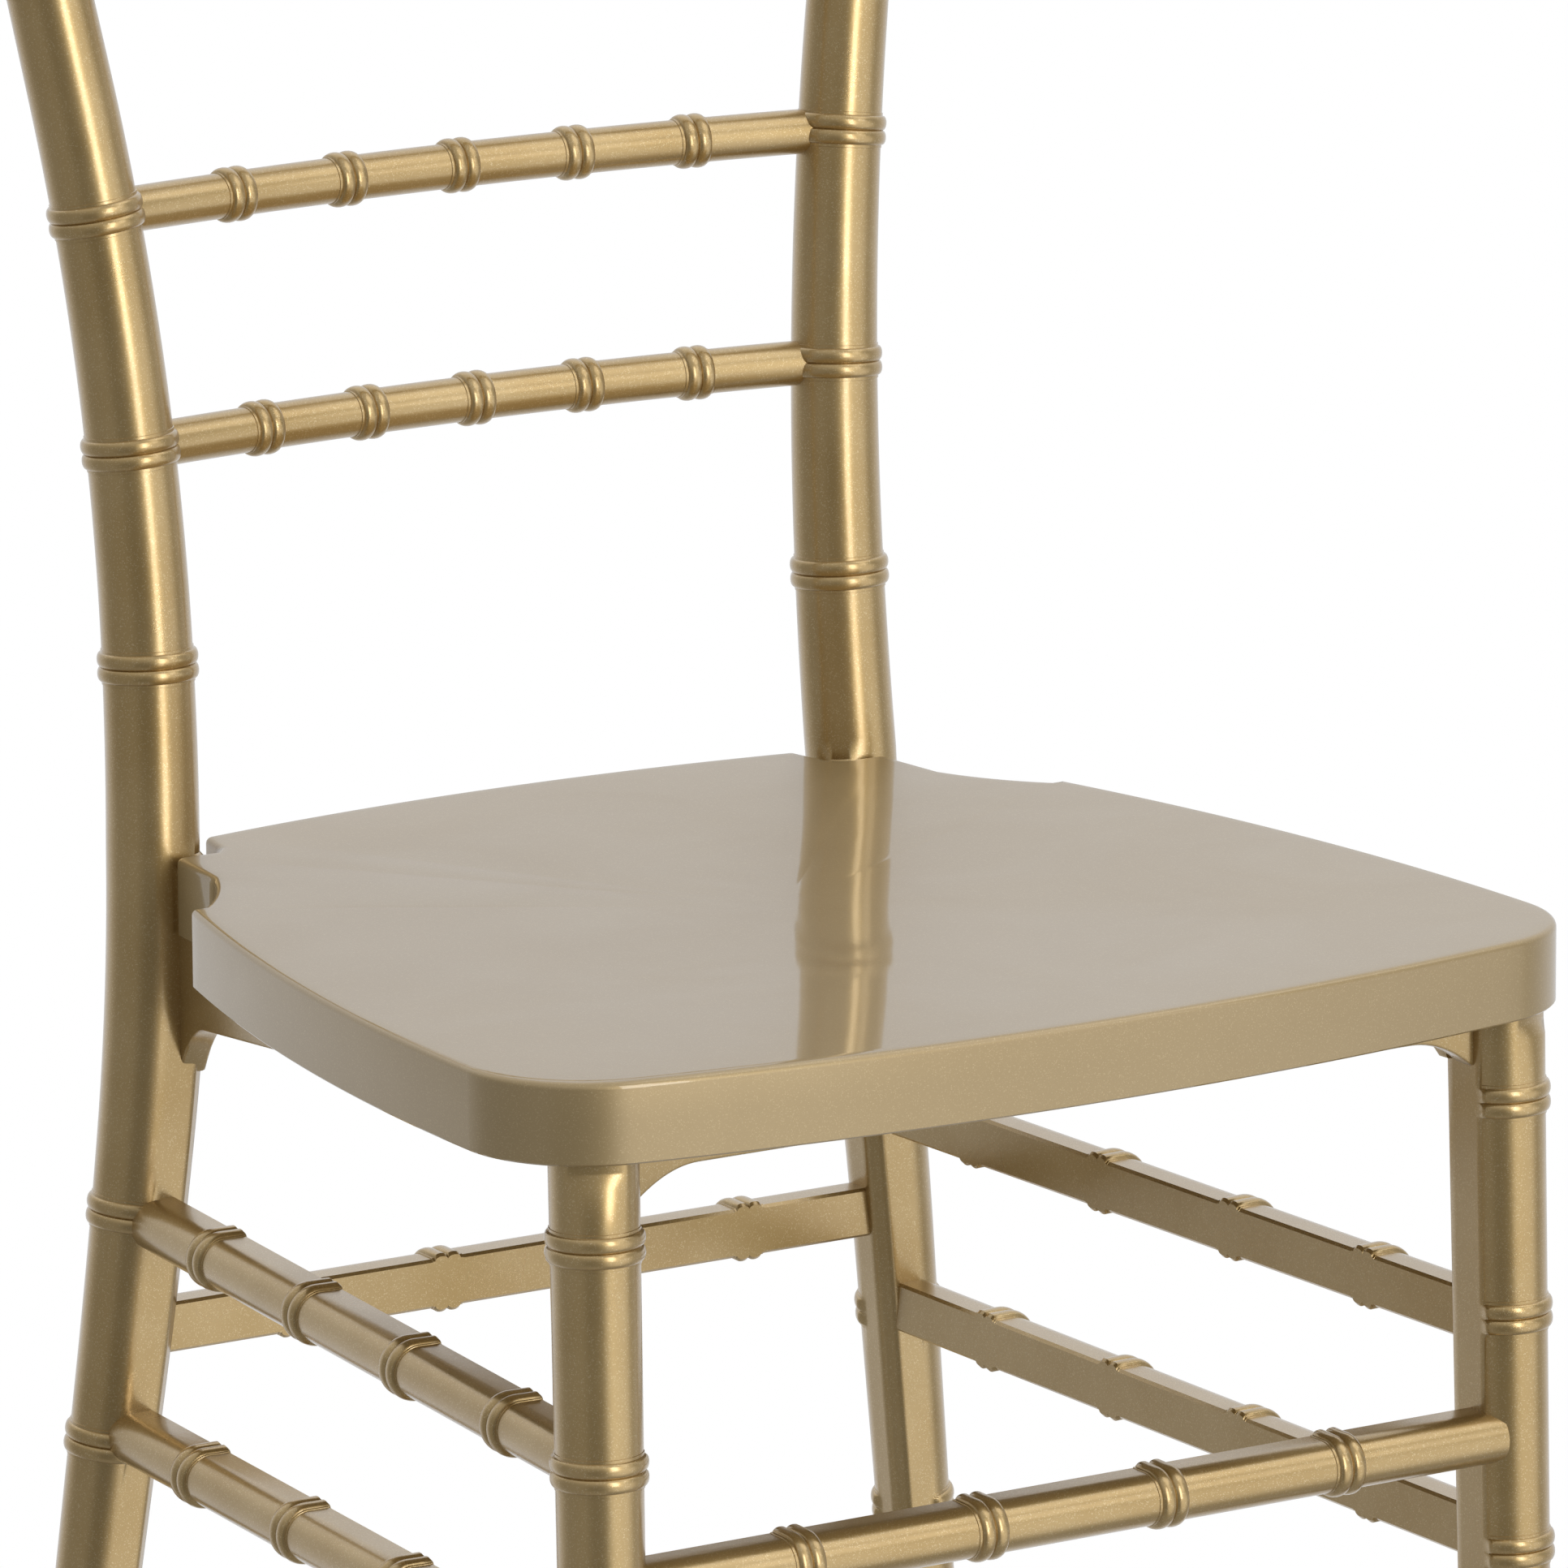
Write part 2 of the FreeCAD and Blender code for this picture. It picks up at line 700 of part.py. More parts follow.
def is_front_corner(edge):
    span = edge.BoundBox
    upright = span.ZLength > seat_skirt / 2.0 and span.XLength < 1e-6 and span.YLength < 1e-6
    return upright and span.YMax < 0.0


# Glides under the legs

def glide(centre, radius, flat_share, corner, side, facing):
    size = radius(glide_height) - glide_inset
    outlines = []
    for z, inset in ((0.0, glide_chamfer), (glide_chamfer, 0.0), (glide_height, 0.0)):
        outlines.append(leg_section(
            centre, size - inset, z, side, flat_share, corner, facing, level=True))
    top = centre(glide_height, side)
    stem = peg(top, UP, -glide_height / 2.0, glide_stem_length, glide_stem, glide_stem, 0.0)
    return fused([ruled(outlines), stem])


def glide_socket(centre, side):
    top = centre(glide_height, side)
    return peg(top, UP, -1.0, glide_stem_length + socket_end_gap, glide_stem, glide_stem, socket_gap)


# Assembly

def build():
    bodies = {}
    beyond = beyond_skirt()
    for name, side in SIDES.items():
        bodies["front_leg_" + name] = front_leg_body(side).cut(beyond)
        bodies["rear_post_" + name] = rear_post_body(side)
    posts = {name: body for name, body in bodies.items() if name.startswith("rear")}
    sockets = {name: [] for name in bodies}
    nodes = {}
    lower_z, upper_z, rail_z = post_ring_heights[1:]
    nodes["slat_lower"] = back_bar(lower_z, slat_radius, bar_ring_places, posts, sockets)
    nodes["slat_upper"] = back_bar(upper_z, slat_radius, bar_ring_places, posts, sockets)
    nodes["spindle_rail"] = back_bar(rail_z, spindle_rail_radius, bar_ring_places, posts, sockets)
    nodes["crest_rail"] = back_bar(crest_height, crest_radius, crest_ring_places, posts, sockets)
    for i in range(spindle_count):
        nodes["spindle_%d" % (i + 1)] = spindle(i)
        in_rail, in_crest = spindle_bores(i)
        nodes["spindle_rail"] = nodes["spindle_rail"].cut(in_rail)
        nodes["crest_rail"] = nodes["crest_rail"].cut(in_crest)
    for level, z in (("upper", side_upper_height), ("lower", side_lower_height)):
        front_left, rear_left = stretcher_end("front", "left", z), stretcher_end("rear", "left", z)
        front_right, rear_right = stretcher_end("front", "right", z), stretcher_end("rear", "right", z)
        nodes["stretcher_left_" + level] = stretcher(
            front_left, rear_left, side_stretcher_out, side_ring_pitch, bodies, sockets)
        nodes["stretcher_right_" + level] = stretcher(
            rear_right, front_right, side_stretcher_out, side_ring_pitch, bodies, sockets)
    z = front_stretcher_height
    nodes["stretcher_front"] = stretcher(
        stretcher_end("front", "right", z), stretcher_end("front", "left", z),
        front_stretcher_out, front_ring_pitch, bodies, sockets)
    z = rear_stretcher_height
    nodes["stretcher_rear"] = stretcher(
        stretcher_end("rear", "left", z), stretcher_end("rear", "right", z),
        rear_stretcher_out, rear_ring_pitch, bodies, sockets)
    for kind in RAIL_ENDS:
        nodes["seat_rail_" + kind] = seat_rail(kind, bodies, sockets)
    nodes["seat_panel"] = seat_panel([rail_blank(kind, slot_gap) for kind in RAIL_ENDS])
    for end_name, side_name in BLOCKS:
        nodes["corner_block_%s_%s" % (end_name, side_name)] = corner_block(end_name, side_name, bodies)
    nodes["seat_screws"] = Part.makeCompound([seat_screw(*pair) for pair in BLOCKS])
    for name, side in SIDES.items():
        leg, post = "front_leg_" + name, "rear_post_" + name
        sockets[leg].append(glide_socket(front_leg_centre, side))
        sockets[post].append(glide_socket(post_centre, side))
        nodes["glide_front_" + name] = glide(
            front_leg_centre, front_leg_radius, front_leg_flat, front_leg_corner, side, 1.0)
        nodes["glide_rear_" + name] = glide(post_centre, post_radius, post_flat, post_corner, side, -1.0)
        nodes[leg] = bodies[leg].cut(Part.makeCompound(sockets[leg]))
        nodes[post] = bodies[post].cut(Part.makeCompound(sockets[post]))
    return nodes


def main():
    os.makedirs("parts", exist_ok=True)
    nodes = build()
    whole = Part.makeCompound(list(nodes.values())).optimalBoundingBox()
    shift = V(-(whole.XMin + whole.XMax) / 2.0, -(whole.YMin + whole.YMax) / 2.0, -whole.ZMin)
    for name, shape in nodes.items():
        shape.translate(shift)
        shape.exportStep("parts/%s.step" % name)
        print(name, "valid", shape.isValid(), "solids", len(shape.Solids), "volume", round(shape.Volume))
    print("shift", shift, "size", whole.XLength, whole.YLength, whole.ZLength)


main()
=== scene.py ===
import bpy
import math
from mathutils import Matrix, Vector


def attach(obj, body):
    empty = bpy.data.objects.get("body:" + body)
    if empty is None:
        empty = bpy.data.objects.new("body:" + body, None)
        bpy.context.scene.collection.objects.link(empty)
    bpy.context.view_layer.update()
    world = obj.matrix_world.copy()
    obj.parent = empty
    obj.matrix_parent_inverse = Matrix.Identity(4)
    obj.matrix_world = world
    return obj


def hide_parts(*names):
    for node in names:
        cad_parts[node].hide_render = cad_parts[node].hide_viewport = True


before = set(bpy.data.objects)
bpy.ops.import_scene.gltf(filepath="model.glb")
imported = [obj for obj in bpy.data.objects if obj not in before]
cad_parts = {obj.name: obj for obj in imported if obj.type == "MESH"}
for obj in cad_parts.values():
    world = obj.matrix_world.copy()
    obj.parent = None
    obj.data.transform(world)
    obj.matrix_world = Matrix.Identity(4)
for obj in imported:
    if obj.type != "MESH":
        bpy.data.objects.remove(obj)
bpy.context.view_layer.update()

# Sizes shared by several pieces, in millimetres, in the chair's own frame before it is centred
mm = 0.001
chair = {
    "backShift": -197.1926,      # from the front leg line to the frame's origin
    "seatHeight": 445.0,
    "seatPitch": math.radians(0.65),
    "plate": 4.6,
    "glide": 6.0,
}
up = Vector((0, 0, 1))
sides = {"left": -1.0, "right": 1.0}


def toScene(point):
    return Vector((point.x, point.y + chair["backShift"], point.z)) * mm


def meshPiece(name, points, faces, material, nodes, sharpAngle=40.0):
    mesh = bpy.data.meshes.new(name)
    mesh.from_pydata([toScene(p) for p in points], [], faces)
    mesh.validate()
    mesh.shade_smooth()
    mesh.set_sharp_from_angle(angle=math.radians(sharpAngle))
    obj = bpy.data.objects.new(name, mesh)
    bpy.context.scene.collection.objects.link(obj)
    obj.data.materials.append(material)
    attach(obj, "root")
    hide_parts(*nodes)


def tubeFaces(rows, count):
    faces = []
    for row in range(rows - 1):
        base = row * count
        for i in range(count):
            j = (i + 1) % count
            faces.append((base + i, base + j, base + count + j, base + count + i))
    faces.append(tuple(reversed(range(count))))
    faces.append(tuple(range((rows - 1) * count, rows * count)))
    return faces


def tubePiece(name, outlines, node, flip=False):
    # a closed gold member through outlines with the same number of points
    points = [p for outline in outlines for p in outline]
    faces = tubeFaces(len(outlines), len(outlines[0]))
    if flip:
        faces = [tuple(reversed(face)) for face in faces]
    meshPiece(name, points, faces, bodyGold, [node])


# Materials

def linear(hexColour):
    value = hexColour.lstrip("#")
    channels = [int(value[i:i + 2], 16) / 255.0 for i in (0, 2, 4)]
    return tuple(c / 12.92 if c <= 0.04045 else ((c + 0.055) / 1.055) ** 2.4 for c in channels) + (1.0,)


def addNode(tree, kind, settings=None, links=None):
    node = tree.nodes.new(kind)
    for key, value in (settings or {}).items():
        if isinstance(key, str) and hasattr(node, key):
            setattr(node, key, value)
        else:
            node.inputs[key].default_value = value
    for key, source in (links or {}).items():
        tree.links.new(source, node.inputs[key])
    return node


def emptyMaterial(name):
    material = bpy.data.materials.new(name)
    material.use_nodes = True
    material.node_tree.nodes.clear()
    return material, material.node_tree


def perMetre(millimetres):
    return 1.0 / (millimetres * mm)


# what both gold finishes share; a Mix node's two colours are its inputs 6 and 7
pearlResin = {
    "ior": 1.5, "cloudDetail": 3.0, "cloudRough": 0.55, "flowDetail": 2.0, "flowBend": 1.4,
    "glintFrom": 0.86, "flowFrom": 0.3, "flowTo": 0.7, "smoother": 0.03, "rougher": 0.04,
    "peelDetail": 1.0, "peelDepth": 0.2, "flakeDepth": 0.06}


def pearlGold(name, look):
    # gold mica pigment in moulded resin: fine glitter, cloudy pigment flow, faint orange peel
    material, tree = emptyMaterial(name)
    place = addNode(tree, "ShaderNodeTexCoord").outputs["Object"]
    cloud = addNode(tree, "ShaderNodeTexNoise",
                    {"Scale": perMetre(look["cloud"]), "Detail": pearlResin["cloudDetail"],
                     "Roughness": pearlResin["cloudRough"]}, {"Vector": place})
    flow = addNode(tree, "ShaderNodeTexNoise",
                   {"Scale": perMetre(look["flow"]), "Detail": pearlResin["flowDetail"],
                    "Distortion": pearlResin["flowBend"]}, {"Vector": place})
    flake = addNode(tree, "ShaderNodeTexVoronoi", {"Scale": perMetre(look["flake"])}, {"Vector": place})
    flakeTone = addNode(tree, "ShaderNodeSeparateColor", {}, {"Color": flake.outputs["Color"]})
    blend = addNode(tree, "ShaderNodeMix",
                    {"data_type": "RGBA", 6: linear(look["deep"]), 7: linear(look["pale"])},
                    {"Factor": cloud.outputs["Fac"]})
    glint = addNode(tree, "ShaderNodeMapRange",
                    {"From Min": pearlResin["glintFrom"], "From Max": 1.0,
                     "To Min": 0.0, "To Max": look["glint"]},
                    {"Value": flakeTone.outputs["Red"]})
    spark = addNode(tree, "ShaderNodeMix", {"data_type": "RGBA", 7: linear(look["spark"])},
                    {"Factor": glint.outputs["Result"], 6: blend.outputs[2]})
    rough = addNode(tree, "ShaderNodeMapRange",
                    {"From Min": pearlResin["flowFrom"], "From Max": pearlResin["flowTo"],
                     "To Min": look["rough"] - pearlResin["smoother"],
                     "To Max": look["rough"] + pearlResin["rougher"]},
                    {"Value": flow.outputs["Fac"]})
    peel = addNode(tree, "ShaderNodeTexNoise",
                   {"Scale": perMetre(look["peel"]), "Detail": pearlResin["peelDetail"]},
                   {"Vector": place})
    peelBump = addNode(tree, "ShaderNodeBump",
                       {"Strength": look["peelStrength"], "Distance": pearlResin["peelDepth"] * mm},
                       {"Height": peel.outputs["Fac"]})
    flakeBump = addNode(tree, "ShaderNodeBump",
                        {"Strength": look["flakeStrength"], "Distance": pearlResin["flakeDepth"] * mm},
                        {"Height": flakeTone.outputs["Green"], "Normal": peelBump.outputs["Normal"]})
    shader = addNode(tree, "ShaderNodeBsdfPrincipled",
                     {"Metallic": look["metallic"], "Coat Weight": look["coat"],
                      "Coat Roughness": look["coatRough"], "IOR": pearlResin["ior"]},
                     {"Base Color": spark.outputs[2], "Roughness": rough.outputs["Result"],
                      "Normal": flakeBump.outputs["Normal"], "Coat Normal": peelBump.outputs["Normal"]})
    addNode(tree, "ShaderNodeOutputMaterial", {}, {"Surface": shader.outputs["BSDF"]})
    return material


# pattern sizes in millimetres; the flakes are drawn coarser than real mica, so that they show
bodyGold = pearlGold("Pearl gold resin, satin from the mould", {
    "deep": "#a98a4e", "pale": "#bea472", "spark": "#ead8ae", "cloud": 34.0, "flow": 60.0,
    "flake": 0.3, "glint": 0.45, "rough": 0.29, "peel": 2.4, "peelStrength": 0.10,
    "flakeStrength": 0.12, "metallic": 0.82, "coat": 1.0, "coatRough": 0.17})
seatGold = pearlGold("Pearl gold resin, polished seat mould", {
    "deep": "#a18a5e", "pale": "#a99369", "spark": "#d2bd90", "cloud": 60.0, "flow": 90.0,
    "flake": 0.3, "glint": 0.35, "rough": 0.42, "peel": 3.2, "peelStrength": 0.03,
    "flakeStrength": 0.08, "metallic": 0.6, "coat": 1.0, "coatRough": 0.04})

screwZinc = {"colour": "#b9bcc0", "marks": 0.6, "detail": 2.0, "strength": 0.2, "depth": 0.1,
             "smooth": 0.25, "dull": 0.42}


def zincSteel():
    # zinc plated on steel: bright, with fine marks that break up the highlight
    material, tree = emptyMaterial("Zinc plated steel, turned head")
    place = addNode(tree, "ShaderNodeTexCoord").outputs["Object"]
    marks = addNode(tree, "ShaderNodeTexNoise",
                    {"Scale": perMetre(screwZinc["marks"]), "Detail": screwZinc["detail"]},
                    {"Vector": place})
    bump = addNode(tree, "ShaderNodeBump",
                   {"Strength": screwZinc["strength"], "Distance": screwZinc["depth"] * mm},
                   {"Height": marks.outputs["Fac"]})
    rough = addNode(tree, "ShaderNodeMapRange",
                    {"To Min": screwZinc["smooth"], "To Max": screwZinc["dull"]},
                    {"Value": marks.outputs["Fac"]})
    shader = addNode(tree, "ShaderNodeBsdfPrincipled",
                     {"Metallic": 1.0, "Base Color": linear(screwZinc["colour"])},
                     {"Roughness": rough.outputs["Result"], "Normal": bump.outputs["Normal"]})
    addNode(tree, "ShaderNodeOutputMaterial", {}, {"Surface": shader.outputs["BSDF"]})
    return material


glideBlack = {"deep": "#191817", "pale": "#2a2826", "grain": 0.5, "detail": 2.0,
              "strength": 0.35, "depth": 0.2, "rough": 0.6}


def glidePlastic():
    # spark-eroded mould grain, which keeps the black dull
    material, tree = emptyMaterial("Black glide plastic, grained mould")
    place = addNode(tree, "ShaderNodeTexCoord").outputs["Object"]
    grain = addNode(tree, "ShaderNodeTexNoise",
                    {"Scale": perMetre(glideBlack["grain"]), "Detail": glideBlack["detail"]},
                    {"Vector": place})
    tone = addNode(tree, "ShaderNodeMix",
                   {"data_type": "RGBA", 6: linear(glideBlack["deep"]), 7: linear(glideBlack["pale"])},
                   {"Factor": grain.outputs["Fac"]})
    bump = addNode(tree, "ShaderNodeBump",
                   {"Strength": glideBlack["strength"], "Distance": glideBlack["depth"] * mm},
                   {"Height": grain.outputs["Fac"]})
    shader = addNode(tree, "ShaderNodeBsdfPrincipled", {"Roughness": glideBlack["rough"]},
                     {"Base Color": tone.outputs[2], "Normal": bump.outputs["Normal"]})
    addNode(tree, "ShaderNodeOutputMaterial", {}, {"Surface": shader.outputs["BSDF"]})
    return material


print("materials made")


# Bamboo rings: a thin step, two round beads, a thin step
ringLook = {
    "pitch": 5.0, "beadHalf": 2.45, "rise": 1.7, "groove": 0.5, "step": 0.28, "halfBand": 6.1,
    "stepSlope": 0.12, "stepGap": 0.1, "beadPoints": 8, "beadStart": 0.1}


def ringProfile():
    # places along a member and the rise above it, from one side of the ring to the other
    half = ringLook["pitch"] / 2.0
    beadHalf, groove = ringLook["beadHalf"], ringLook["groove"]
    count, start = ringLook["beadPoints"], ringLook["beadStart"]
    profile = [(ringLook["halfBand"], 0.0),
               (ringLook["halfBand"] - ringLook["stepSlope"], ringLook["step"]),
               (half + beadHalf + ringLook["stepGap"], ringLook["step"])]
    for i in range(count + 1):
        turn = math.pi * (start + (1.0 - 2.0 * start) * i / count)
        profile.append((half + beadHalf * math.cos(turn),
                        groove + (ringLook["rise"] - groove) * math.sin(turn)))
    mirrored = [(-along, rise) for along, rise in profile]
    return mirrored + [(0.0, groove)] + list(reversed(profile))


def stations(start, end, rings, step):
    # places along a member with their rise: a step apart, and finer where there is a ring
    places = [(start, 0.0)]
    for ring in sorted(rings) + [None]:
        stop = end if ring is None else ring - ringLook["halfBand"]
        here = places[-1][0]
        count = max(1, round((stop - here) / step))
        last = count if ring is None else count - 1
        places += [(here + (stop - here) * i / count, 0.0) for i in range(1, last + 1)]
        if ring is not None:
            places += [(ring + along, rise) for along, rise in ringProfile()]
    return places


# Legs and posts, round but for the two flat faces of each leg
frontLeg = {
    "halfSpacing": 174.0, "splay": 2.4, "rake": 17.0, "seatRadius": 14.7, "footRadius": 13.0,
    "flat": 0.91, "corner": 1.2, "rings": (393.2, 319.9, 240.1, 165.5, 92.0),
    "step": 14.0, "ringedTop": 414.0, "skirtHeights": (418.0, 418.8, 430.0)}
post = {
    "back": 346.0, "halfSpacing": 137.6, "waist": 513.0, "upperFlare": 4.39e-4, "upperReach": 190.0,
    "lowerFlare": 3.4e-4, "lowerReach": 166.0, "lean": 0.0706, "sweep": 1.065e-4,
    "sweepReach": 2000.0, "knee": 3.25e-4, "kneeReach": 183.0, "seatRadius": 15.9,
    "crownRadius": 12.9, "footRadius": 11.4, "flat": 1.0, "corner": 4.6, "top": 909.0,
    "dome": 7.0, "domeRows": 10, "domeCorner": 0.3, "runout": 3.0,
    "legStep": 9.0, "upperStep": 7.0,
    "legRings": (319.9, 240.1, 165.5, 92.0), "postRings": (507.2, 580.3, 659.8, 742.0)}
# points round a leg: on its round side, on its flat faces, and those over which a ring fades out
legPoints = {"round": 72, "flat": 18, "fade": 3.0}
# arc of the skirt's inner wall at a front corner of the seat: centre, radius, height of its lower end
skirtCorner = {"x": 160.3, "y": 25.6, "room": 42.1, "low": 418.2}


def bentOffset(distance, slope, curve, reach):
    # a parabola that goes on straight past reach
    bent = min(distance, reach)
    return slope * bent + curve * bent ** 2 + (distance - bent) * (slope + 2.0 * curve * reach)


def frontCentre(z, side):
    down = (chair["seatHeight"] - z) / chair["seatHeight"]
    x = frontLeg["halfSpacing"] + frontLeg["splay"] * down
    return Vector((side * x, -frontLeg["rake"] * down, z))


def frontRadius(z):
    share = z / chair["seatHeight"]
    return frontLeg["footRadius"] + (frontLeg["seatRadius"] - frontLeg["footRadius"]) * share


def postCentre(z, side):
    if z > post["waist"]:
        flare = bentOffset(z - post["waist"], 0.0, post["upperFlare"], post["upperReach"])
    else:
        flare = bentOffset(post["waist"] - z, 0.0, post["lowerFlare"], post["lowerReach"])
    if z > chair["seatHeight"]:
        back = bentOffset(z - chair["seatHeight"], post["lean"], post["sweep"], post["sweepReach"])
    else:
        back = bentOffset(chair["seatHeight"] - z, -post["lean"], post["knee"], post["kneeReach"])
    return Vector((side * (post["halfSpacing"] + flare), post["back"] + back, z))


def postRadius(z):
    seat = chair["seatHeight"]
    if z > seat:
        share = (z - seat) / (post["top"] - seat)
        return post["seatRadius"] + (post["crownRadius"] - post["seatRadius"]) * share
    return post["footRadius"] + (post["seatRadius"] - post["footRadius"]) * z / seat


def legOffsets(radius, look, rise):
    # a leg's section as (inward, toward), first its flat faces, then its round side with the ring's rise
    flat = look["flat"] * radius
    corner = look["corner"]
    reach = math.sqrt(max(radius ** 2 - flat ** 2, 0.0))
    path = [(flat, -reach), (flat, flat - corner), (flat - corner, flat), (-reach, flat)]
    offsets = walkPath(path, legPoints["flat"])
    first = math.atan2(flat, -reach)
    last = 2.0 * math.pi + math.atan2(-reach, flat)
    count = legPoints["round"]
    for i in range(count):
        turn = first + (last - first) * i / count
        fade = min(1.0, i / legPoints["fade"], (count - i) / legPoints["fade"])
        out = radius + rise * fade
        offsets.append((out * math.cos(turn), out * math.sin(turn)))
    return offsets


def roundOffsets(radius, corner, rise):
    # a full round with its points in the same order as on the leg below
    path = [(radius, 0.0), (radius, radius - corner), (radius - corner, radius), (0.0, radius)]
    offsets = []
    for x, y in walkPath(path, legPoints["flat"]):
        pull = (radius + rise) / math.hypot(x, y)
        offsets.append((x * pull, y * pull))
    count = legPoints["round"]
    for i in range(count):
        turn = math.pi / 2.0 + 1.5 * math.pi * i / count
        offsets.append(((radius + rise) * math.cos(turn), (radius + rise) * math.sin(turn)))
    return offsets


def walkPath(path, count):
    # count points, evenly spaced along a path of straight lines, without its end
    lengths = [math.dist(a, b) for a, b in zip(path, path[1:])]
    points = []
    for i in range(count):
        walk = sum(lengths) * i / count
        line = 0
        while walk > lengths[line] and line < len(lengths) - 1:
            walk -= lengths[line]
            line += 1
        share = walk / lengths[line]
        points.append(tuple(a + (b - a) * share for a, b in zip(path[line], path[line + 1])))
    return points


def insideSkirt(point, side):
    # the leg's top gives way to the skirt's inner wall at the seat's rounded corner
    middle = Vector((side * skirtCorner["x"], skirtCorner["y"], point.z))
    away = point - middle
    outward = away.x * side > 0.0 and away.y < 0.0
    if point.z > skirtCorner["low"] and outward and away.length > skirtCorner["room"]:
        return middle + away * (skirtCorner["room"] / away.length)
    return point


def uprightOutline(centre, z, side, facing, offsets, level):
    middle = centre(z, side)
    slope = (centre(z + 1.0, side) - centre(z - 1.0, side)).normalized()
    outline = []
    for inward, toward in offsets:
        x, y = -side * inward, facing * toward
        drop = 0.0 if level else (slope.x * x + slope.y * y) / slope.z
        outline.append(middle + Vector((x, y, -drop)))
    return outline


def makeFrontLeg(name, side):
    top = chair["seatHeight"] - chair["plate"]
    outlines = []
    places = stations(chair["glide"], frontLeg["ringedTop"], frontLeg["rings"], frontLeg["step"])
    places += [(z, 0.0) for z in frontLeg["skirtHeights"] + (top,)]
    for z, rise in places:
        offsets = legOffsets(frontRadius(z), frontLeg, rise)
        level = z in (chair["glide"], top)
        outline = uprightOutline(frontCentre, z, side, 1.0, offsets, level)
        outlines.append([insideSkirt(point, side) for point in outline])
    tubePiece("leg_front_" + name, outlines, "front_leg_" + name, side > 0.0)


def makePost(name, side):
    plate = chair["seatHeight"] - chair["plate"]
    outlines = []
    for z, rise in stations(chair["glide"], plate, post["legRings"], post["legStep"]):
        level = z in (chair["glide"], plate)
        offsets = legOffsets(postRadius(z), post, rise)
        outlines.append(uprightOutline(postCentre, z, side, -1.0, offsets, level))
    shoulder = post["top"] - post["dome"]
    for z, rise in stations(plate + post["runout"], shoulder, post["postRings"], post["upperStep"]):
        offsets = roundOffsets(postRadius(z), post["corner"], rise)
        outlines.append(uprightOutline(postCentre, z, side, -1.0, offsets, False))
    for i in range(1, post["domeRows"]):
        turn = math.pi / 2.0 * i / post["domeRows"]
        z = shoulder + post["dome"] * math.sin(turn)
        radius = postRadius(shoulder) * math.cos(turn)
        offsets = roundOffsets(radius, post["domeCorner"] * radius, 0.0)
        outlines.append(uprightOutline(postCentre, z, side, -1.0, offsets, True))
    tubePiece("post_rear_" + name, outlines, "rear_post_" + name, side < 0.0)


for sideName, sideSign in sides.items():
    makeFrontLeg(sideName, sideSign)
    makePost(sideName, sideSign)
print("legs and posts made")


# Back bars and spindles

back = {
    "curve": 900.0, "slat": 7.75, "spindleRail": 7.75, "crest": 8.8, "crestHeight": 887.0,
    "spaces": 6.5, "rings": (-2, -1, 0, 1, 2), "crestRings": (-2, 0, 2), "barStep": 8.0,
    "barSides": 56, "barSink": 0.55,      # a bar ends outside the post's axis, a share of its radius
    "spindle": 5.0, "spindles": 6, "spindleSeat": 5.0, "spindleStep": 20.0, "spindleSides": 40}


def barPoint(z, x):
    end = postCentre(z, 1.0)
    curve = back["curve"]
    ahead = math.sqrt(curve ** 2 - end.x ** 2)
    return Vector((x, end.y - ahead + math.sqrt(curve ** 2 - x ** 2), z))


def barHeading(x):
    return Vector((math.sqrt(back["curve"] ** 2 - x ** 2), -x, 0.0)).normalized()


def ringPitch(z):
    return 2.0 * postCentre(z, 1.0).x / back["spaces"]


def roundOutline(point, direction, reference, radius, count):
    first = (reference - direction * reference.dot(direction)).normalized()
    second = direction.cross(first)
    outline = []
    for i in range(count):
        turn = 2.0 * math.pi * i / count
        outline.append(point + first * (radius * math.cos(turn)) + second * (radius * math.sin(turn)))
    return outline


def makeBar(name, z, radius, places):
    end = postCentre(z, 1.0).x - back["barSink"] * postRadius(z)
    rings = [place * ringPitch(z) for place in places]
    outlines = []
    for x, rise in stations(-end, end, rings, back["barStep"]):
        outlines.append(roundOutline(barPoint(z, x), barHeading(x), up, radius + rise, back["barSides"]))
    tubePiece("bar_" + name, outlines, name)


def makeSpindle(index):
    place = index - (back["spindles"] - 1) / 2.0
    railHeight = post["postRings"][-1]
    low = barPoint(railHeight, place * ringPitch(railHeight))
    high = barPoint(back["crestHeight"], place * ringPitch(back["crestHeight"]))
    along = (high - low).normalized()
    start = back["spindleRail"] - back["spindleSeat"]
    end = (high - low).length - back["crest"] + back["spindleSeat"]
    sideways = Vector((1, 0, 0))
    outlines = []
    for walk, rise in stations(start, end, [(start + end) / 2.0], back["spindleStep"]):
        outlines.append(roundOutline(
            low + along * walk, along, sideways, back["spindle"] + rise, back["spindleSides"]))
    name = "spindle_%d" % (index + 1)
    tubePiece("round_" + name, outlines, name)


makeBar("slat_lower", post["postRings"][1], back["slat"], back["rings"])
makeBar("slat_upper", post["postRings"][2], back["slat"], back["rings"])
makeBar("spindle_rail", post["postRings"][3], back["spindleRail"], back["rings"])
makeBar("crest_rail", back["crestHeight"], back["crest"], back["crestRings"])
for spindleIndex in range(back["spindles"]):
    makeSpindle(spindleIndex)
print("back made")


# Stretchers: half round outside, flat inside

stretcher = {
    "height": 17.6, "flat": 8.3, "sideOut": 7.4, "frontOut": 13.5, "rearOut": 9.6,
    "upper": 318.0, "lower": 243.5, "front": 279.3, "rear": 278.4, "rings": 4,
    "sidePitch": 73.5, "frontPitch": 69.5, "rearPitch": 61.0, "edge": 1.0,
    "arcPoints": 28, "midFlat": 0.6, "step": 30.0,
    "inset": 8.0}      # a stretcher ends this far from the leg's axis


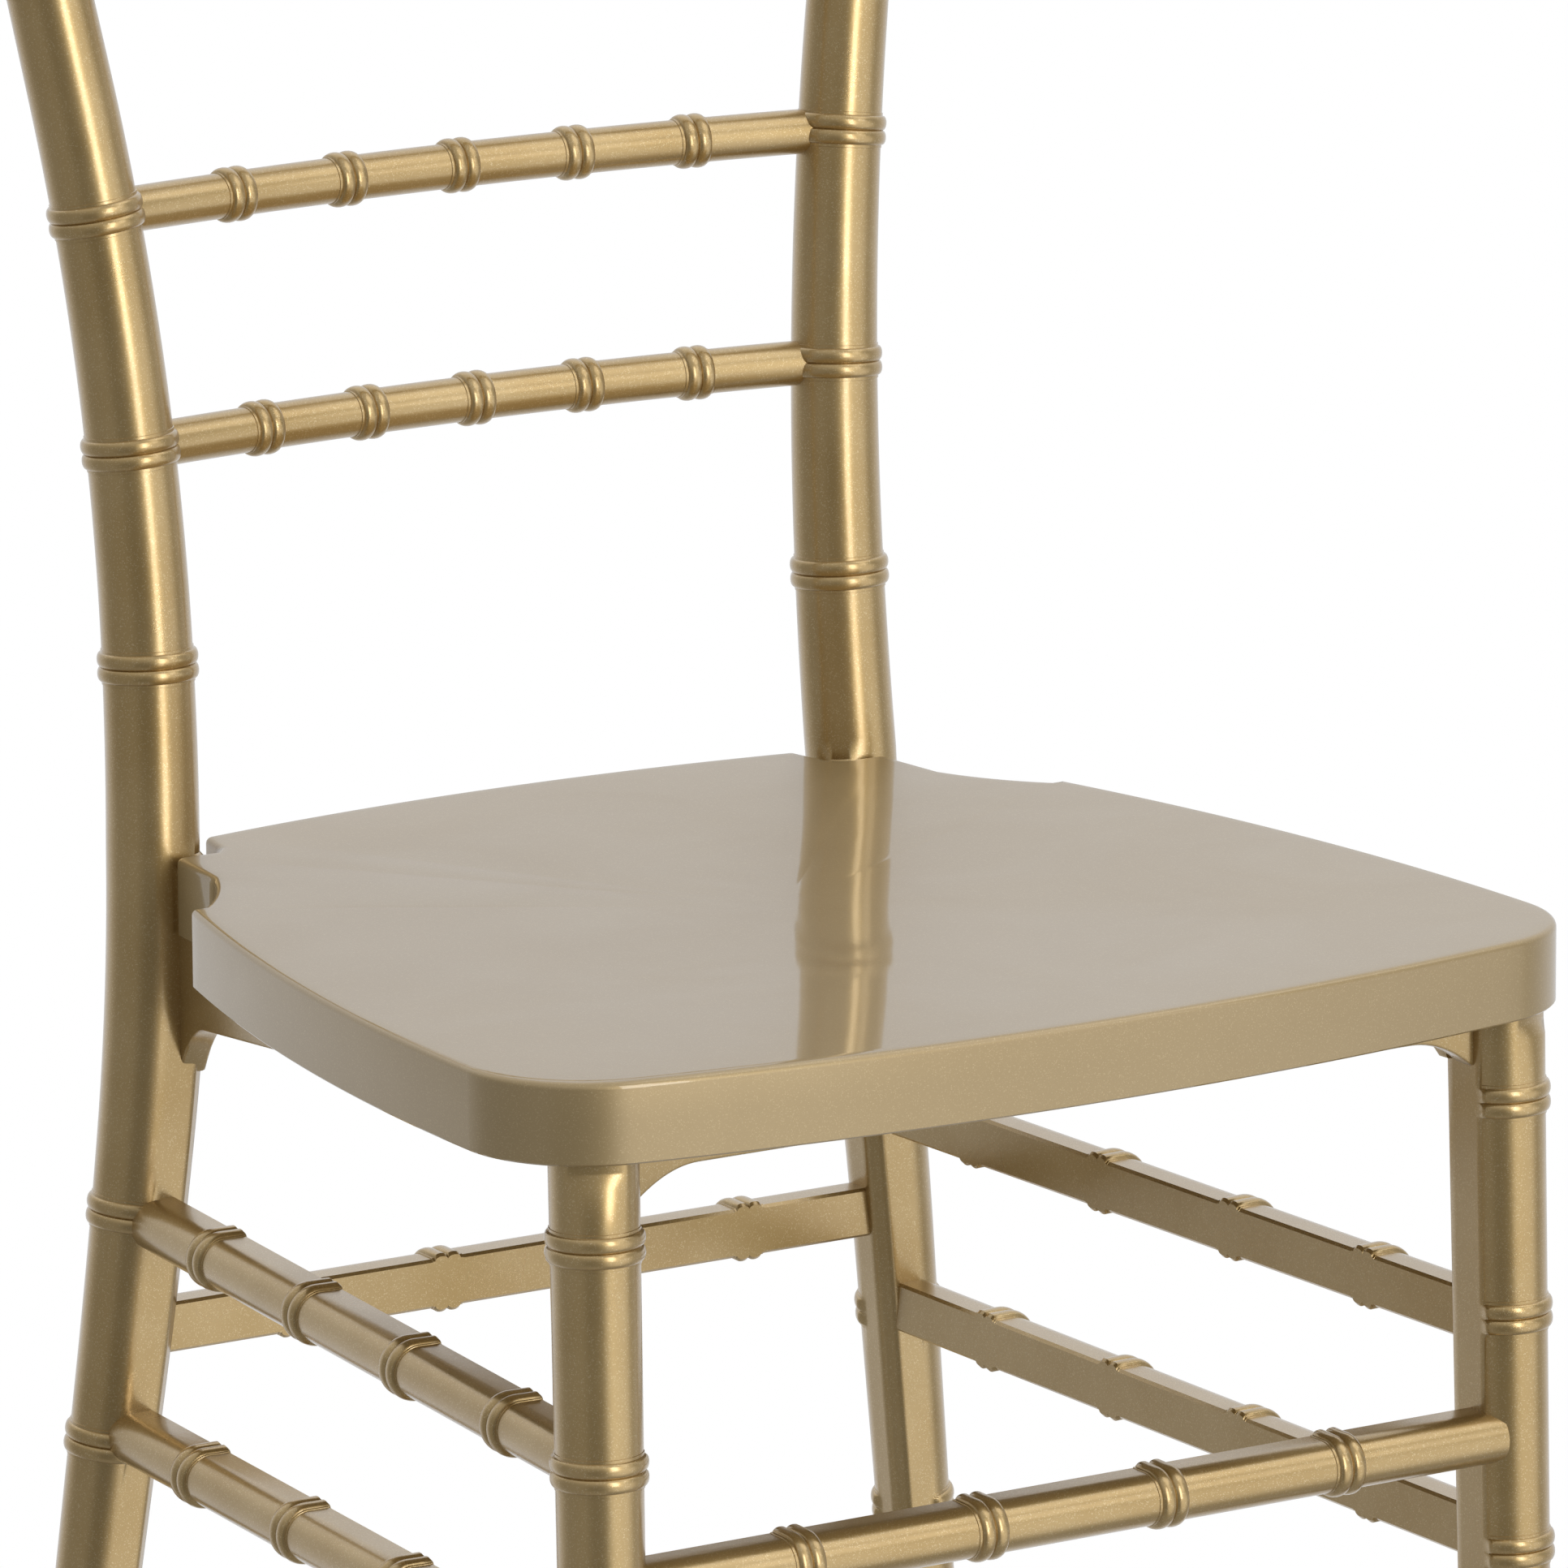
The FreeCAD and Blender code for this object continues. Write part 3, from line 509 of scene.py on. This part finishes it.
def stretcherOutline(start, along, outward, x, out, rise):
    # the rings rise on all sides but the flat inner face
    r = stretcher["height"] / 2.0
    centre = out - r
    inner = centre - stretcher["flat"]
    edge = stretcher["edge"]
    lifted = r + rise
    points = [(inner, -lifted + edge), (inner + edge, -lifted),
              (inner + stretcher["midFlat"] * stretcher["flat"], -lifted)]
    for i in range(stretcher["arcPoints"] + 1):
        turn = math.pi * (i / stretcher["arcPoints"] - 0.5)
        points.append((centre + lifted * math.cos(turn), lifted * math.sin(turn)))
    points += [(y, -z) for y, z in reversed(points[:3])]
    return [start + along * x + outward * y + up * z for y, z in points]


def makeStretcher(name, start, end, out, pitch):
    run = end - start
    along = run.normalized()
    outward = up.cross(along)
    count = stretcher["rings"]
    rings = [run.length / 2.0 + (i - (count - 1) / 2.0) * pitch for i in range(count)]
    outlines = []
    for x, rise in stations(stretcher["inset"], run.length - stretcher["inset"], rings, stretcher["step"]):
        outlines.append(stretcherOutline(start, along, outward, x, out, rise))
    tubePiece("bar_stretcher_" + name, outlines, "stretcher_" + name)


def makeStretchers():
    out, pitch = stretcher["sideOut"], stretcher["sidePitch"]
    for level in ("upper", "lower"):
        z = stretcher[level]
        makeStretcher("left_" + level, frontCentre(z, -1.0), postCentre(z, -1.0), out, pitch)
        makeStretcher("right_" + level, postCentre(z, 1.0), frontCentre(z, 1.0), out, pitch)
    z = stretcher["front"]
    makeStretcher("front", frontCentre(z, 1.0), frontCentre(z, -1.0),
                  stretcher["frontOut"], stretcher["frontPitch"])
    z = stretcher["rear"]
    makeStretcher("rear", postCentre(z, -1.0), postCentre(z, 1.0),
                  stretcher["rearOut"], stretcher["rearPitch"])


makeStretchers()
print("stretchers made")


# Seat: a shell with a skirt, a rounded upper edge and a slightly sunk top

seat = {
    "sideOverhang": 15.38, "frontOverhang": 18.24, "frontBow": 22.0, "sideBow": 10.3,
    "earOut": 33.2, "earAhead": 85.4, "earStep": 4.9,
    "throatOut": 5.1, "throatAhead": 50.4, "throatBow": 2.2, "tipOut": 1.7,
    "rearOverhang": 3.0, "rearDraft": 3.4, "rearBow": 10.2, "notch": 2.4,
    "skirt": 27.0, "wall": 2.6, "lip": 0.5, "lowEdge": 0.6, "edge": 2.2, "edgeRows": 6, "dish": 2.2,
    "ribWall": 2.4, "ribDepth": 7.0, "ribSpacing": 66.0, "ribs": 3, "ribSink": 1.0,
    "frontPoints": 48, "rearPoints": 30, "middleGap": 1.0, "mitreLimit": 1.6, "sharpAngle": 34.0,
    "underShares": (0.02, 0.5),
    "dishShares": (0.985, 0.96, 0.92, 0.87, 0.8, 0.72, 0.63, 0.53, 0.42, 0.3, 0.18, 0.06)}
# lines of the right half from the front corner to the rear: from, to, bow, points
seatLines = (
    ("corner", "ear", seat["sideBow"], 30), ("ear", "step", 0.0, 3),
    ("step", "throat", -seat["throatBow"], 12), ("throat", "tip", 0.0, 8),
    ("tip", "diagonalStart", 0.0, 4), ("diagonalStart", "diagonalEnd", 0.0, 3),
    ("diagonalEnd", "rear", 0.0, 4))
# corners that are rounded, from the last one on: radius, points
seatRounds = (("rear", 3.0, 6), ("tip", 3.0, 6), ("ear", 1.6, 6), ("corner", 45.0, 14))


def arcPoints(a, b, bow, count):
    # points after a up to b, on an arc that bulges to the right of its way
    way = b - a
    if bow == 0.0:
        return [a + way * (i / count) for i in range(1, count + 1)]
    half = way.length / 2.0
    onward = way.normalized()
    right = Vector((way.y, -way.x, 0.0)).normalized()
    radius = (half ** 2 + bow ** 2) / (2.0 * abs(bow))
    sign = 1.0 if bow > 0.0 else -1.0
    middle = (a + b) * 0.5 - right * (sign * (radius - abs(bow)))
    angle = math.asin(min(1.0, half / radius))
    points = []
    for i in range(1, count + 1):
        turn = angle * (2.0 * i / count - 1.0)
        outward, along = sign * radius * math.cos(turn), radius * math.sin(turn)
        points.append(middle + right * outward + onward * along)
    return points


def seatCorners():
    centre = postCentre(chair["seatHeight"], 1.0)
    notch = post["seatRadius"] * post["flat"] + seat["notch"]
    halfWidth = frontLeg["halfSpacing"] + frontLeg["seatRadius"] + seat["sideOverhang"]
    frontY = -frontLeg["seatRadius"] - seat["frontOverhang"]
    ear = Vector((centre.x + seat["earOut"], centre.y - seat["earAhead"], 0))
    return {
        "front": Vector((0, frontY, 0)),
        "corner": Vector((halfWidth, frontY + seat["frontBow"], 0)),
        "ear": ear,
        "step": ear - Vector((seat["earStep"], 0, 0)),
        "throat": Vector((centre.x + seat["throatOut"], centre.y - seat["throatAhead"], 0)),
        "tip": Vector((centre.x + seat["tipOut"], centre.y - notch, 0)),
        "diagonalStart": Vector((centre.x - notch + post["corner"], centre.y - notch, 0)),
        "diagonalEnd": Vector((centre.x - notch, centre.y - notch + post["corner"], 0)),
        "rear": Vector((centre.x - notch - seat["rearDraft"], centre.y + seat["rearOverhang"], 0)),
    }


def rounded(points, index, radius, count):
    # replaces the sharp point at an index by an arc of a radius, as a rational curve
    corner = points[index]
    turn = (corner - points[index - 1]).angle(points[index + 1] - corner)
    reach = radius * math.tan(turn / 2.0)
    weight = math.cos(turn / 2.0)
    first, walkBefore = index, 0.0
    while walkBefore < reach and first > 0:
        walkBefore += (points[first] - points[first - 1]).length
        first -= 1
    last, walkAfter = index, 0.0
    while walkAfter < reach and last < len(points) - 1:
        walkAfter += (points[last + 1] - points[last]).length
        last += 1
    start = points[first] + (points[first + 1] - points[first]).normalized() * (walkBefore - reach)
    end = points[last] + (points[last - 1] - points[last]).normalized() * (walkAfter - reach)
    arc = []
    for i in range(count + 1):
        t = i / count
        atStart, atCorner, atEnd = (1 - t) ** 2, 2 * weight * t * (1 - t), t ** 2
        total = atStart + atCorner + atEnd
        arc.append((start * atStart + corner * atCorner + end * atEnd) / total)
    return points[:first + 1] + arc + points[last:]


def mirrored(point):
    return Vector((-point.x, point.y, 0))


def seatOutline():
    place = seatCorners()
    frontArc = arcPoints(mirrored(place["corner"]), place["corner"], seat["frontBow"], seat["frontPoints"])
    path = [place["front"]] + [p for p in frontArc if p.x > seat["middleGap"]]
    marks = {"corner": len(path) - 1}
    for start, end, bow, count in seatLines:
        path += arcPoints(place[start], place[end], bow, count)
        marks[end] = len(path) - 1
    rearArc = arcPoints(place["rear"], mirrored(place["rear"]), seat["rearBow"], seat["rearPoints"])
    path += [p for p in rearArc if p.x > seat["middleGap"]]
    path.append(Vector((0, place["rear"].y + seat["rearBow"], 0)))
    for name, radius, count in seatRounds:
        path = rounded(path, marks[name], radius, count)
    return path + [mirrored(p) for p in reversed(path[1:-1])]


def insetOutline(outline, distance):
    # each point moved inwards along the mean of its two edges' normals, for a small distance
    moved = []
    count = len(outline)
    for i, point in enumerate(outline):
        before = point - outline[i - 1]
        after = outline[(i + 1) % count] - point
        normal = Vector((-before.y, before.x, 0)).normalized() + Vector((-after.y, after.x, 0)).normalized()
        stretch = min(2.0 / normal.length, seat["mitreLimit"])
        moved.append(point + normal.normalized() * (distance * stretch))
    return moved


def pitched(point):
    # turned by the seat's pitch about the post line at seat height
    y = point.y - post["back"]
    z = point.z - chair["seatHeight"]
    c, s = math.cos(-chair["seatPitch"]), math.sin(-chair["seatPitch"])
    return Vector((point.x, post["back"] + y * c - z * s, chair["seatHeight"] + y * s + z * c))


def boxParts(x0, x1, y0, y1, z0, z1, points, faces):
    base = len(points)
    for z in (z0, z1):
        points += [Vector((x0, y0, z)), Vector((x1, y0, z)), Vector((x1, y1, z)), Vector((x0, y1, z))]
    for face in ((3, 2, 1, 0), (4, 5, 6, 7), (0, 1, 5, 4), (1, 2, 6, 5), (2, 3, 7, 6), (3, 0, 4, 7)):
        faces.append(tuple(base + i for i in face))


def scaledAbout(middle, outline, share):
    return [middle + (p - middle) * share for p in outline]


def makeSeat():
    outline = seatOutline()
    top = chair["seatHeight"]
    bottom = top - seat["skirt"]
    plateBottom = top - chair["plate"]
    middle = Vector((0, (post["back"] - frontLeg["seatRadius"]) / 2.0, 0))
    inner = insetOutline(outline, seat["wall"])
    # loops from the middle of the underside, down inside the skirt, up outside it, and over the top
    loops = [(scaledAbout(middle, inner, share), plateBottom) for share in seat["underShares"]]
    loops.append((inner, plateBottom))
    loops.append((inner, bottom + seat["lip"]))
    loops.append((insetOutline(outline, seat["wall"] - seat["lip"]), bottom))
    loops.append((insetOutline(outline, seat["lowEdge"]), bottom))
    loops.append((outline, bottom + seat["lowEdge"]))
    loops.append((outline, top - seat["skirt"] / 2.0))
    edge = seat["edge"]
    for i in range(seat["edgeRows"] + 1):
        turn = math.pi / 2.0 * i / seat["edgeRows"]
        inset = edge * (1.0 - math.cos(turn))
        loops.append((insetOutline(outline, inset), top - edge * (1.0 - math.sin(turn))))
    rim = insetOutline(outline, edge)
    for share in seat["dishShares"]:
        inward = 1.0 - share
        sink = seat["dish"] * (3.0 * inward ** 2 - 2.0 * inward ** 3)
        loops.append((scaledAbout(middle, rim, share), top - sink))
    points = [Vector((p.x, p.y, z)) for loop, z in loops for p in loop]
    faces = tubeFaces(len(loops), len(outline))
    reach = seat["ribSpacing"] * (seat["ribs"] + 1) / 2.0
    half = seat["ribWall"] / 2.0
    low, high = plateBottom - seat["ribDepth"], plateBottom + seat["ribSink"]
    for i in range(seat["ribs"]):
        x = (i - (seat["ribs"] - 1) / 2.0) * seat["ribSpacing"]
        boxParts(x - half, x + half, middle.y - reach, middle.y + reach, low, high, points, faces)
        y = middle.y + x
        boxParts(-reach, reach, y - half, y + half, low, high, points, faces)
    points = [pitched(p) for p in points]
    meshPiece("seat_shell", points, faces, seatGold, ["seat_panel"], seat["sharpAngle"])


makeSeat()
print("seat made")


# Seat rails: flat bars under the seat with hollow curved brackets at the legs

rail = {
    "wall": 10.0, "drop": 34.0, "frontBack": 1.0, "rearAhead": 9.0, "frontIn": 9.0, "rearIn": 6.5,
    "bracket": 24.0, "bracketDepth": 10.0,              # the hollow curve at most ends
    "rise": 230.0, "riseDepth": 25.0, "toe": 20.0, "toeDepth": 17.0,      # the side rails' rear ends
    "edge": 1.2, "facet": 0.3, "sink": 4.0, "endStep": 2.0, "endRows": 13, "middleRows": 12}


def bracketDrop(walk, long):
    if long:
        rise = rail["riseDepth"] * max(0.0, 1.0 - walk / rail["rise"])
        return rise + rail["toeDepth"] * max(0.0, 1.0 - walk / rail["toe"]) ** 2
    return rail["bracketDepth"] * max(0.0, 1.0 - walk / rail["bracket"]) ** 2


def railSection(place, aside, high, low):
    half = rail["wall"] / 2.0
    edge = rail["edge"]
    facet = rail["facet"] * edge
    lower = ((-half, low + edge), (-half + facet, low + facet), (-half + edge, low),
             (half - edge, low), (half - facet, low + facet), (half, low + edge))
    corners = ((-half, high),) + lower + ((half, high),)
    return [pitched(place + aside * y + up * z) for y, z in corners]


def makeRail(name, start, end, startCut, endCut, longStart, longEnd):
    # the cuts are where the legs' surfaces are, and long ends have the deep bracket
    along = (end - start).normalized()
    aside = up.cross(along)
    last = (end - start).length - endCut
    high = chair["seatHeight"] - chair["plate"]
    step, rows, middleRows = rail["endStep"], rail["endRows"], rail["middleRows"]
    gap = last - startCut - 2.0 * step * rows
    places = [startCut - rail["sink"]]
    places += [startCut + step * i for i in range(rows + 1)]
    places += [startCut + step * rows + gap * i / middleRows for i in range(1, middleRows)]
    places += [last - step * i for i in range(rows, -1, -1)]
    places.append(last + rail["sink"])
    outlines = []
    for x in places:
        fromStart, fromEnd = max(0.0, x - startCut), max(0.0, last - x)
        drop = max(bracketDrop(fromStart, longStart), bracketDrop(fromEnd, longEnd))
        low = chair["seatHeight"] - rail["drop"] - drop
        outlines.append(railSection(start + along * x, aside, high, low))
    tubePiece("rail_" + name, outlines, "seat_rail_" + name)


def makeRails():
    front = frontLeg["halfSpacing"]
    rear = postCentre(chair["seatHeight"], 1.0)
    legCut = frontLeg["seatRadius"] * frontLeg["flat"]
    postCut = post["seatRadius"] * post["flat"]
    y = rail["frontBack"]
    makeRail("front", Vector((front, y, 0)), Vector((-front, y, 0)), legCut, legCut, False, False)
    y = rear.y - rail["rearAhead"]
    makeRail("rear", Vector((-rear.x, y, 0)), Vector((rear.x, y, 0)), postCut, postCut, False, False)
    sideFront = front - rail["frontIn"]
    sideRear = rear.x - rail["rearIn"]
    makeRail("left", Vector((-sideFront, 0, 0)), Vector((-sideRear, rear.y, 0)),
             legCut, postCut, False, True)
    makeRail("right", Vector((sideRear, rear.y, 0)), Vector((sideFront, 0, 0)),
             postCut, legCut, True, False)


makeRails()
print("rails made")


# Nodes that keep their own shape get their finish
keptFinish = {"seat_screws": zincSteel(), "glide_": glidePlastic(), "corner_block_": bodyGold}
for nodeName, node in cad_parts.items():
    for start, finish in keptFinish.items():
        if nodeName.startswith(start):
            node.data.materials.clear()
            node.data.materials.append(finish)
print("kept nodes finished")


# Studio: white all round for the camera, and for light and reflections a dim room with brighter sides.
# Each side of the room has a direction, the two cosines from it where its light starts and is full,
# and a strength; the room is a little darker behind the camera
studio = {"dim": 0.37, "tint": "#fbfcff", "white": "#ffffff", "floorHalf": 6.0}
roomSides = {
    "backdrop": ((0.527, 0.85, 0.0), 0.0, 0.75, 0.42),
    "floor in front": ((0.42, -0.88, -0.22), 0.74, 0.97, 0.85),
    "behind the camera": ((-0.51, -0.82, -0.26), 0.8, 0.99, -0.16),
    "ceiling": ((0.0, 0.0, 1.0), 0.15, 0.9, 0.36)}
lamps = {
    "softbox front": {"place": (0.1, -2.9, 1.35), "target": (0.0, 0.0, 0.75),
                      "width": 0.75, "height": 2.2, "radiance": 3.8},
    "panel above": {"place": (1.3, -1.0, 2.9), "target": (0.0, 0.0, 0.45),
                    "width": 1.8, "height": 1.8, "radiance": 0.8},
    "softbox right": {"place": (1.75, -2.8, 2.1), "target": (0.0, 0.0, 0.5),
                      "width": 1.1, "height": 1.3, "radiance": 1.1}}


def areaLamp(name, look):
    data = bpy.data.lights.new(name, "AREA")
    data.shape = "RECTANGLE"
    data.size = look["width"]
    data.size_y = look["height"]
    data.energy = 4.0 * look["radiance"] * look["width"] * look["height"]   # watts for that radiance
    lamp = bpy.data.objects.new(name, data)
    lamp.location = look["place"]
    direction = Vector(look["target"]) - Vector(look["place"])
    lamp.rotation_euler = direction.to_track_quat("-Z", "Y").to_euler()
    bpy.context.scene.collection.objects.link(lamp)


def makeWorld():
    world = bpy.data.worlds.new("studio")
    bpy.context.scene.world = world
    world.use_nodes = True
    tree = world.node_tree
    tree.nodes.clear()
    way = addNode(tree, "ShaderNodeTexCoord").outputs["Generated"]
    total = None
    for direction, begin, full, strength in roomSides.values():
        dot = addNode(tree, "ShaderNodeVectorMath", {"operation": "DOT_PRODUCT", 1: direction}, {0: way})
        glow = addNode(tree, "ShaderNodeMapRange",
                       {"interpolation_type": "SMOOTHSTEP", "From Min": begin, "From Max": full,
                        "To Min": 0.0, "To Max": strength}, {"Value": dot.outputs["Value"]})
        links = {0: glow.outputs["Result"]}
        if total:
            links[1] = total.outputs[0]
        total = addNode(tree, "ShaderNodeMath", {"operation": "ADD", 1: studio["dim"]}, links)
    room = addNode(tree, "ShaderNodeBackground", {"Color": linear(studio["tint"])},
                   {"Strength": total.outputs[0]})
    white = addNode(tree, "ShaderNodeBackground", {"Strength": 1.0, "Color": linear(studio["white"])})
    path = addNode(tree, "ShaderNodeLightPath")
    mix = addNode(tree, "ShaderNodeMixShader", {},
                  {0: path.outputs["Is Camera Ray"], 1: room.outputs[0], 2: white.outputs[0]})
    addNode(tree, "ShaderNodeOutputWorld", {}, {"Surface": mix.outputs[0]})


def makeFloor():
    # matt white paint: pure white to the camera, and clear to the room's light, which holds its glow
    material, tree = emptyMaterial("White studio floor, matt paint")
    path = addNode(tree, "ShaderNodeLightPath")
    clear = addNode(tree, "ShaderNodeBsdfTransparent")
    white = addNode(tree, "ShaderNodeEmission", {"Strength": 1.0, "Color": linear(studio["white"])})
    mix = addNode(tree, "ShaderNodeMixShader", {},
                  {0: path.outputs["Is Camera Ray"], 1: clear.outputs[0], 2: white.outputs[0]})
    addNode(tree, "ShaderNodeOutputMaterial", {}, {"Surface": mix.outputs[0]})
    half = studio["floorHalf"]
    mesh = bpy.data.meshes.new("floor")
    corners = [(-half, -half, 0), (half, -half, 0), (half, half, 0), (-half, half, 0)]
    mesh.from_pydata(corners, [], [(0, 1, 2, 3)])
    floor = bpy.data.objects.new("floor", mesh)
    floor.data.materials.append(material)
    bpy.context.scene.collection.objects.link(floor)


makeWorld()
makeFloor()
for lampName, lampLook in lamps.items():
    areaLamp(lampName, lampLook)

# Camera: fitted to the photograph, place in metres, angles in degrees, focal length in its pixels
camera = {
    "place": (-2.26141, -3.67525, 1.52422), "turn": 31.825611, "down": 13.609259,
    "focal": 16400.0, "picture": 1932.0, "sensor": 36.0, "farthest": 100.0}
cameraData = bpy.data.cameras.new("camera")
cameraObject = bpy.data.objects.new("camera", cameraData)
bpy.context.scene.collection.objects.link(cameraObject)
cameraObject.location = camera["place"]
cameraObject.rotation_euler = (math.radians(90.0 - camera["down"]), 0.0, math.radians(-camera["turn"]))
cameraData.sensor_width = camera["sensor"]
cameraData.lens = camera["focal"] / camera["picture"] * camera["sensor"]
cameraData.clip_end = camera["farthest"]
bpy.context.scene.camera = cameraObject
bpy.context.scene.view_settings.view_transform = "Standard"
print("studio and camera made")
